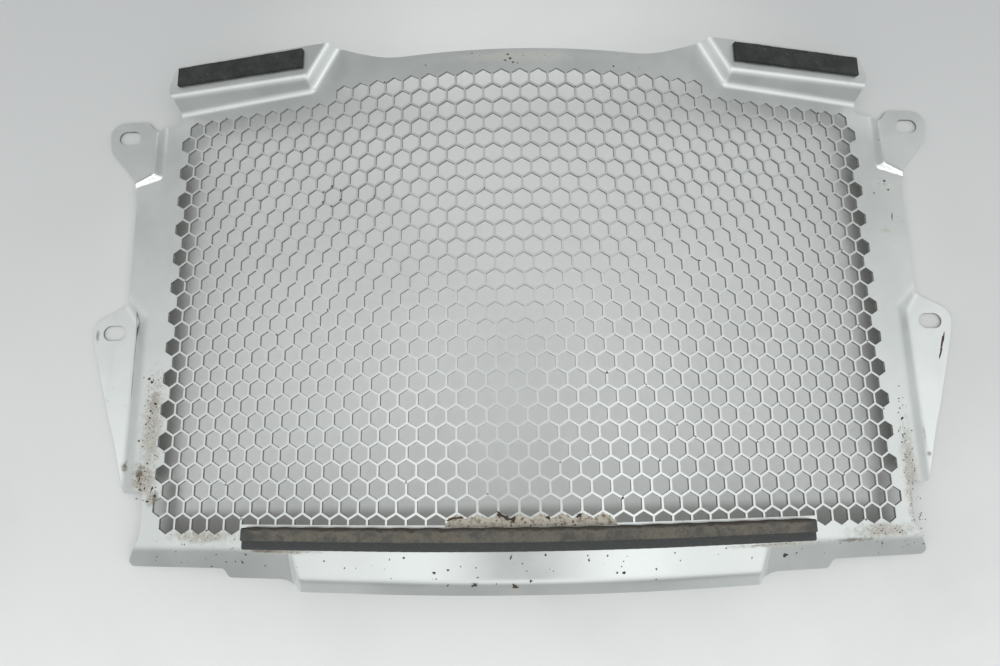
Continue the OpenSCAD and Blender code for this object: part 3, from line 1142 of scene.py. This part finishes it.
@dataclass(frozen=True)
class SheetFinish(Finish):
    """Satin bare metal, a little uneven, with stains where dirt has stuck.

    Each of the smudges and blotches is a Smudge's values.
    """

    place: Placement
    light: Colour = (0.735, 0.76, 0.75, 1)
    dark: Colour = (0.66, 0.69, 0.68, 1)
    film: Colour = (0.44, 0.395, 0.32, 1)
    brown: Colour = (0.13, 0.10, 0.07, 1)
    stain: Colour = (0.05, 0.037, 0.026, 1)
    roughness: float = 0.30
    metallic: float = 0.96
    breakup: float = 0.3
    grime_scale: float = 420.0
    smudges: tuple[Row, ...] = (
        (-184, -62, 10, 40, 0.6), (-187, -88, 12, 13, 0.8), (-181, -97, 5, 7, 0.7),
        (-152, -114.5, 28, 5.5, 0.6), (187, -94, 7, 42, 0.6), (168, -117, 28, 6, 0.6),
        (192, 59, 8, 2.6, 0.55), (191, 33.5, 6, 3, 0.5), (-112, -120.5, 28, 2, 0.7),
        (112, -121, 34, 1.5, 0.6), (0, 112.5, 62, 4, 0.3),
    )
    blotches: tuple[Row, ...] = (
        (-199.4, -82, 3.2, 4.4, 0.9), (-188.7, -85.5, 3.2, 7, 0.85), (-179, -96.5, 3, 5, 0.7),
        (152, -120.6, 17, 1.5, 0.8), (-120, -120.6, 14, 1.3, 0.7), (-220, -15, 1.6, 5, 0.7),
        (200.2, -72, 1.2, 8, 0.35), (201.6, -81.6, 2, 2, 0.6), (-24, -133.4, 2.6, 1.8, 0.5),
        (-184, -50, 5, 9, 0.25),
    )

    def patches(self, tree: Surface, rows: tuple[Row, ...]) -> Socket:
        """Lays soft patches over each other.

        Args:
            tree: The metal's node tree.
            rows: The patches' values.

        Returns:
            The strongest patch at each point.
        """
        mask: object = 0.0
        for smudge in (Smudge(*row) for row in rows):
            x, y, _ = self.place.to_frame(np.array([smudge.x, smudge.y, 0.0]))
            patch = tree.effect(tree.effects.patch, {
                "Centre": (x, y, 0), "Reach": (smudge.half_x * MM, smudge.half_y * MM, 1),
                "Breakup": self.breakup, "Detail Scale": self.grime_scale,
            })
            mask = tree.math("MAXIMUM", mask, tree.product(patch, smudge.depth))
        return mask

    def surface(self, tree: Surface) -> dict:
        """Lays a dusty film, brown blotches and fine dark spots over the satin metal.

        Args:
            tree: The metal's node tree.

        Returns:
            What feeds each input of its shader.
        """
        cloud = tree.remap(tree.cloud(26.0, 4.0, 0.6), 0.3, 0.7)
        grain = tree.grain(1500.0, (0.22, 1, 1))
        dirt = self.patches(tree, self.smudges)
        brown = self.patches(tree, self.blotches)
        dirt = tree.math("MAXIMUM", dirt, tree.product(tree.speckle(420.0, 0.16, 0.05), 0.3))
        bits = tree.math("ADD", tree.cloud(1400.0, 3.0, 0.6), tree.product(dirt, 0.14))
        spots = tree.product(tree.remap(bits, 0.67, 0.73), tree.remap(dirt, 0.04, 0.25))
        base = tree.blend(cloud, self.dark, self.light)
        base = tree.blend(tree.product(tree.math("SUBTRACT", grain, 0.3), 0.35), base, self.dark)
        base = tree.blend(brown, tree.blend(dirt, base, self.film), self.brown)
        shiny = tree.math("ADD", tree.product(cloud, 0.05), self.roughness)
        covered = tree.math("MAXIMUM", tree.math("MAXIMUM", dirt, brown), spots)
        return {
            "Base Color": tree.blend(spots, base, self.stain),
            "Roughness": tree.math("ADD", shiny, tree.product(dirt, 0.45)),
            "Metallic": tree.math("SUBTRACT", self.metallic, covered),
            "Normal": tree.bump(0.25, 0.00005, grain),
        }


@dataclass(frozen=True)
class PunchedEdgeShadeFinish(Finish):
    """The duller raw metal of the sheet's cut edges and of the walls of its holes, made darker still as
    painted shade on the hole walls.
    """

    # Dark partly for the raw cut metal and partly as painted shade on the hole walls.
    base: Colour = (0.26, 0.265, 0.26, 1)
    scuffed: Colour = (0.42, 0.425, 0.42, 1)

    def surface(self, tree: Surface) -> dict:
        """Streaks the raw edge.

        Args:
            tree: The edge's node tree.

        Returns:
            What feeds each input of its shader.
        """
        streaks = tree.grain(1800.0, (1, 1, 0.3))
        return {
            "Base Color": tree.blend(tree.remap(streaks, 0.4, 0.75), self.base, self.scuffed),
            "Metallic": 0.7, "Roughness": 0.5, "Normal": tree.bump(0.4, 0.00005, streaks),
        }


@dataclass(frozen=True)
class FoamFinish(Finish):
    """Closed-cell foam with fine pores and some dust."""

    base: Colour = (0.020, 0.023, 0.021, 1)
    worn: Colour = (0.034, 0.038, 0.035, 1)
    dust: Colour = (0.11, 0.11, 0.10, 1)
    dust_share: float = 0.06

    def surface(self, tree: Surface) -> dict:
        """Wears and dusts the foam.

        Args:
            tree: The foam's node tree.

        Returns:
            What feeds each input of its shader.
        """
        cloud = tree.cloud(120.0, 5.0, 0.65)
        base = tree.blend(tree.remap(cloud, 0.35, 0.7), self.base, self.worn)
        bits = tree.product(tree.speckle(900.0, 0.35, self.dust_share), 0.55)
        film = tree.product(tree.remap(cloud, 0.42, 0.72), self.dust_share * 1.6)
        dusty = tree.math("MAXIMUM", bits, film)
        return {
            "Base Color": tree.blend(dusty, base, self.dust), "Roughness": 0.86,
            "Normal": tree.bump(0.6, 0.00012, tree.grain(2600.0)),
        }


@dataclass(frozen=True)
class DustyStripFinish(Finish):
    """Old foam: its thick side matted with brown dust, its thin side and its ends dark."""

    place: Placement
    strip: LowerStrip
    dark: Colour = (0.068, 0.073, 0.073, 1)
    matted: Colour = (0.165, 0.15, 0.124, 1)
    soil: Colour = (0.035, 0.027, 0.019, 1)
    pale: Colour = (0.26, 0.24, 0.20, 1)

    def surface(self, tree: Surface) -> dict:
        """Mats the thick side with dust, and puts a ragged line of soil along its upper seam.

        Args:
            tree: The foam's node tree.

        Returns:
            What feeds each input of its shader.
        """
        across, up, _ = tree.axes(tree.where)
        back = (self.strip.top_y + self.place.centre_y) * MM
        edge = back - self.strip.width * self.strip.thick_share * MM
        cloud = tree.cloud(160.0, 6.0, 0.7)
        fine = tree.grain(1900.0)
        thick = tree.remap(up, edge - 0.0005, edge + 0.0007)
        ends = tree.remap(tree.math("ABSOLUTE", across), 0.122, 0.131, 1.0, 0.15)
        mat = tree.product(thick, ends, tree.remap(cloud, 0.36, 0.58, 0.25, 1.0))
        bits = tree.product(tree.speckle(1300.0, 0.4, 0.25), 0.25)
        base = tree.blend(tree.math("MAXIMUM", mat, bits), self.dark, self.matted)
        base = tree.blend(tree.product(mat, tree.remap(fine, 0.5, 0.7), 0.7), base, self.pale)
        ragged = tree.math("ADD", up, tree.product(tree.math("SUBTRACT", cloud, 0.5), 0.006))
        seam = tree.remap(ragged, back - 0.0018, back - 0.0006, 0.0, 0.8)
        return {
            "Base Color": tree.blend(seam, base, self.soil), "Roughness": 0.93,
            "Normal": tree.bump(0.8, 0.0003, fine),
        }


@dataclass(frozen=True)
class CrumbFinish(Finish):
    """Dried matter: a mottled base colour with darker flecks."""

    base: Colour
    dark: Colour
    scale: float

    def surface(self, tree: Surface) -> dict:
        """Mottles the crumbly matter.

        Args:
            tree: The matter's node tree.

        Returns:
            What feeds each input of its shader.
        """
        cloud = tree.cloud(self.scale, 5.0, 0.7)
        mask = tree.math("MAXIMUM", tree.remap(cloud, 0.48, 0.68), tree.speckle(self.scale * 1.6, 0.32, 0.22))
        return {
            "Base Color": tree.blend(mask, self.base, self.dark), "Roughness": 0.88,
            "Normal": tree.bump(0.7, 0.0003, cloud),
        }


@dataclass
class Lamp:
    """A soft lamp that points at the middle of the guard."""

    name: str
    place: Triple
    size: Spot
    power: float

    def build(self) -> None:
        """Hangs the lamp."""
        data = bpy.data.lights.new(self.name, "AREA")
        data.shape = "RECTANGLE"
        data.size, data.size_y = self.size
        data.energy = self.power
        lamp = bpy.data.objects.new(self.name, data)
        lamp.location = self.place
        lamp.rotation_euler = (-Vector(self.place)).to_track_quat("-Z", "Y").to_euler()
        bpy.context.scene.collection.objects.link(lamp)


@dataclass
class Studio:
    """The pale table with painted light and shade in its colour, the soft light and the camera, in metres.

    Each of the lamps is a kind, the place of the right one, a size and a power.
    """

    table_half: float = 2.5
    table_drop: float = 0.0002
    # Painted light: the table is paler near the camera and darker far off, a painted falloff of light.
    table_near_painted_light: Colour = (0.97, 0.975, 0.975, 1)
    table_far_painted_falloff: Colour = (0.60, 0.61, 0.615, 1)
    # Painted light: a paler pool on the table under the guard's middle, lifting the floor seen through the
    # holes.
    table_painted_light_pool: Colour = (0.90, 0.905, 0.90, 1)
    # Painted shade: the table colour under the outer holes and the lowest row, standing in for contact
    # shadow.
    table_painted_shade: Colour = (0.34, 0.335, 0.32, 1)
    table_mottle: Colour = (0.64, 0.645, 0.65, 1)
    light_pool_half: Spot = (0.215, 0.21)
    # Painted light: how strongly the table glows near the camera.
    painted_glow_near: float = 0.12
    world_colour: Colour = (0.985, 1.0, 0.995, 1)
    world_level: float = 0.96
    camera_place: Triple = (-0.0116, -0.0783, 0.3413)
    camera_turns: Triple = (-0.194545739, -0.000156, 0.015766052)
    lens: float = 24.127
    sensor: float = 36.0
    lamps: tuple[tuple[str, Triple, Spot, float], ...] = (
        ("overhead", (0.71, -0.30, 1.51), (0.8, 0.7), 0.6),
        ("low", (1.3, 1.3, 0.22), (1.0, 0.45), 5.0),
    )

    def build(self) -> Piece:
        """Sets the scene up.

        Returns:
            The table top.
        """
        bpy.context.scene.view_settings.view_transform = "Standard"
        for kind, (x, y, z), size, power in self.lamps:
            for side in Side:
                Lamp(f"{side.name.lower()}_{kind}_light", (x * side.value, y, z), size, power).build()
        self.sky()
        self.camera()
        return self.table()

    def sky(self) -> None:
        """Lights the room softly from above and the near side, a little dimmer straight over the guard."""
        world = bpy.data.worlds.new("soft_room")
        bpy.context.scene.world = world
        world.use_nodes = True
        tree = Tree(world.node_tree)
        ray = tree.add("ShaderNodeTexCoord").outputs["Generated"]
        x, y, z = tree.axes(ray)
        near = tree.remap(y, 0.0, 0.55, 1.12, 0.42)
        horizon = tree.remap(tree.math("ABSOLUTE", x), 0.7, 0.97, 0.20, 0.7)
        rise = tree.remap(z, 0.0, 0.75)
        high = tree.math("ADD", horizon, tree.product(rise, tree.math("SUBTRACT", 1.0, horizon)))
        side = tree.remap(x, -0.8, 0.8, 0.98, 1.12)
        off_top = tree.vector("LENGTH", tree.vector("MULTIPLY_ADD", ray, (1, 1, 0), (0, 0.16, 0)))
        over = tree.remap(off_top, 0.08, 0.34, 0.34, 1.0)
        level = tree.product(tree.product(near, high), tree.product(side, over), self.world_level)
        back = tree.add("ShaderNodeBackground", {"Color": self.world_colour, "Strength": level})
        tree.add("ShaderNodeOutputWorld", {0: back.outputs[0]})

    def camera(self) -> None:
        """Puts the camera at the photograph's viewing angle."""
        data = bpy.data.cameras.new("camera")
        data.lens, data.sensor_width = self.lens, self.sensor
        camera = bpy.data.objects.new("camera", data)
        rx, ry, rz = self.camera_turns
        turn = Matrix.Rotation(-ry, 3, "Y") @ Matrix.Rotation(-rx, 3, "X") @ Matrix.Rotation(-rz, 3, "Z")
        camera.matrix_world = Matrix.LocRotScale(Vector(self.camera_place), turn.to_quaternion(), None)
        bpy.context.scene.collection.objects.link(camera)
        bpy.context.scene.camera = camera

    def table(self) -> Piece:
        """Makes the pale table top, with painted light and shade in its colour and a painted glow near the
        camera.

        Returns:
            The table top.
        """
        h = self.table_half
        mesh = bpy.data.meshes.new("table_top")
        mesh.from_pydata([(-h, -h, 0), (h, -h, 0), (h, h, 0), (-h, h, 0)], [], [[0, 1, 2, 3]])
        top = linked("table_top", mesh)
        top.location.z = -self.table_drop
        material = bpy.data.materials.new("table_laminate_painted_light")
        material.use_nodes = True
        tree = Tree(material.node_tree)
        where = tree.add("ShaderNodeTexCoord").outputs["Object"]
        x, ahead, _ = tree.axes(where)
        rays = tree.add("ShaderNodeLightPath").outputs
        # Painted light: the table near the camera glows for camera and glossy rays, so it also shows in the
        # metal's reflections.
        seen = tree.math("MINIMUM", tree.math("ADD", rays["Is Camera Ray"], rays["Is Glossy Ray"]), 1.0)
        shader = tree.add("ShaderNodeBsdfPrincipled", {
            "Base Color": self.table_tone_with_painted_light(tree, where, tree.math("ABSOLUTE", x), ahead),
            "Roughness": 0.75, "Specular IOR Level": 0.3, "Emission Color": (0.97, 1.0, 1.0, 1),
            "Emission Strength": tree.product(seen, tree.remap(ahead, -0.25, -0.11, self.painted_glow_near, 0.0)),
        })
        below = tree.product(rays["Is Camera Ray"], tree.add("ShaderNodeNewGeometry").outputs["Backfacing"])
        clear = tree.add("ShaderNodeBsdfTransparent")
        seen_from = tree.add("ShaderNodeMixShader", {0: below, 1: shader.outputs[0], 2: clear.outputs[0]})
        tree.add("ShaderNodeOutputMaterial", {0: seen_from.outputs[0]})
        mesh.materials.append(material)
        return top

    def table_tone_with_painted_light(self, tree: Tree, where: Socket, across: Socket, ahead: Socket) -> Socket:
        """Colours the table with painted light and shade: a painted falloff of light, pale nearest the
        camera; a painted pool of light under the guard's middle; and painted shadow under the outer holes and
        the lowest row.

        Args:
            tree: The table's node tree.
            where: The point on the table.
            across: Its distance from the guard's middle line.
            ahead: How far it lies away from the camera.

        Returns:
            The colour.
        """
        # Painted falloff of light, pale near the camera and darker far off.
        tone = tree.blend(tree.remap(ahead, -0.30, 0.26), self.table_near_painted_light, self.table_far_painted_falloff)
        # Painted pool of light under the guard's middle, against the shade the sheet casts.
        half_x, half_y = self.light_pool_half
        share = tree.vector("MULTIPLY_ADD", where, (1 / half_x, 1 / half_y, 0), (0, -0.14, 0))
        middle = tree.remap(tree.vector("LENGTH", share), 0.6, 1.1, 0.9, 0.0)
        tone = tree.blend(middle, tone, self.table_painted_light_pool)
        # Painted shadow on the table under the outer columns of holes and under the lowest row, where the
        # sheet sits close.
        painted_wing_shade = tree.product(
            tree.remap(across, 0.170, 0.182), tree.fade(across, 0.195, 0.203),
            tree.fade(ahead, 0.07, 0.095), tree.remap(ahead, -0.088, -0.078))
        border = tree.product(tree.fade(ahead, -0.102, -0.096), tree.remap(ahead, -0.124, -0.118))
        corner = tree.product(
            tree.remap(ahead, -0.118, -0.110), tree.remap(across, 0.168, 0.176),
            tree.fade(ahead, -0.088, -0.078))
        low = tree.product(tree.math("MAXIMUM", border, corner), tree.fade(across, 0.174, 0.182))
        under = tree.product(tree.math("MAXIMUM", painted_wing_shade, low), 0.85)
        tone = tree.blend(under, tone, self.table_painted_shade)
        mottle = tree.remap(tree.noise(where, 7.0, 4.0), 0.4, 0.75, 0.0, 0.3)
        return tree.blend(mottle, tone, self.table_mottle)


def corners(bounds: tuple[Vector, Vector]) -> list[list[float]]:
    """The two corners of a box as plain numbers."""
    return [list(c) for c in bounds]


def settle(piece: Piece, material: bpy.types.Material) -> None:
    """Dresses a finished piece and fixes it to the guard.

    Args:
        piece: The piece.
        material: Its finish.
    """
    piece.data.materials.append(material)
    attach(piece, "root")
    LOG.info("%s: %d faces", piece.name, len(piece.data.polygons))


def main() -> None:
    """Builds the guard, dresses it and sets up the studio."""
    logging.basicConfig(level=logging.INFO, format="%(message)s")
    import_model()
    effects = Effects()
    shape, place = SheetShape(), Placement()

    panel = GuardPanel(shape, place).build()
    settle(panel, SheetFinish("satin_metal", place).build(effects))
    # The edge material is darkened partly as painted shade on the hole walls.
    panel.data.materials.append(PunchedEdgeShadeFinish("punched_edge_painted_shade").build(effects))
    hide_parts("guard_panel")

    foam = FoamFinish("black_foam").build(effects)
    for side in Side:
        pad = FoamPad(side, shape, place).build()
        settle(pad, foam)
        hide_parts(f"{side.name.lower()}_foam_pad")

    strip = LowerStrip(shape, place)
    long_strip = strip.build()
    settle(long_strip, DustyStripFinish("dusty_foam", place, strip).build(effects))
    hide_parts("lower_foam_strip")

    crust = CrumbFinish("dried_filler", (0.60, 0.56, 0.48, 1), (0.17, 0.13, 0.085, 1), 520.0)
    settle(Residue(shape, place).build(), crust.build(effects))

    middles = np.array([np.mean(np.array(h), axis=0) for h in Honeycomb(shape).holes()])
    mud = CrumbFinish("dried_mud", (0.075, 0.055, 0.04, 1), (0.03, 0.024, 0.02, 1), 900.0)
    settle(DriedMud(shape, place).build(middles), mud.build(effects))

    Studio().build()
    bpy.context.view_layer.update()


if __name__ == "__main__":
    main()
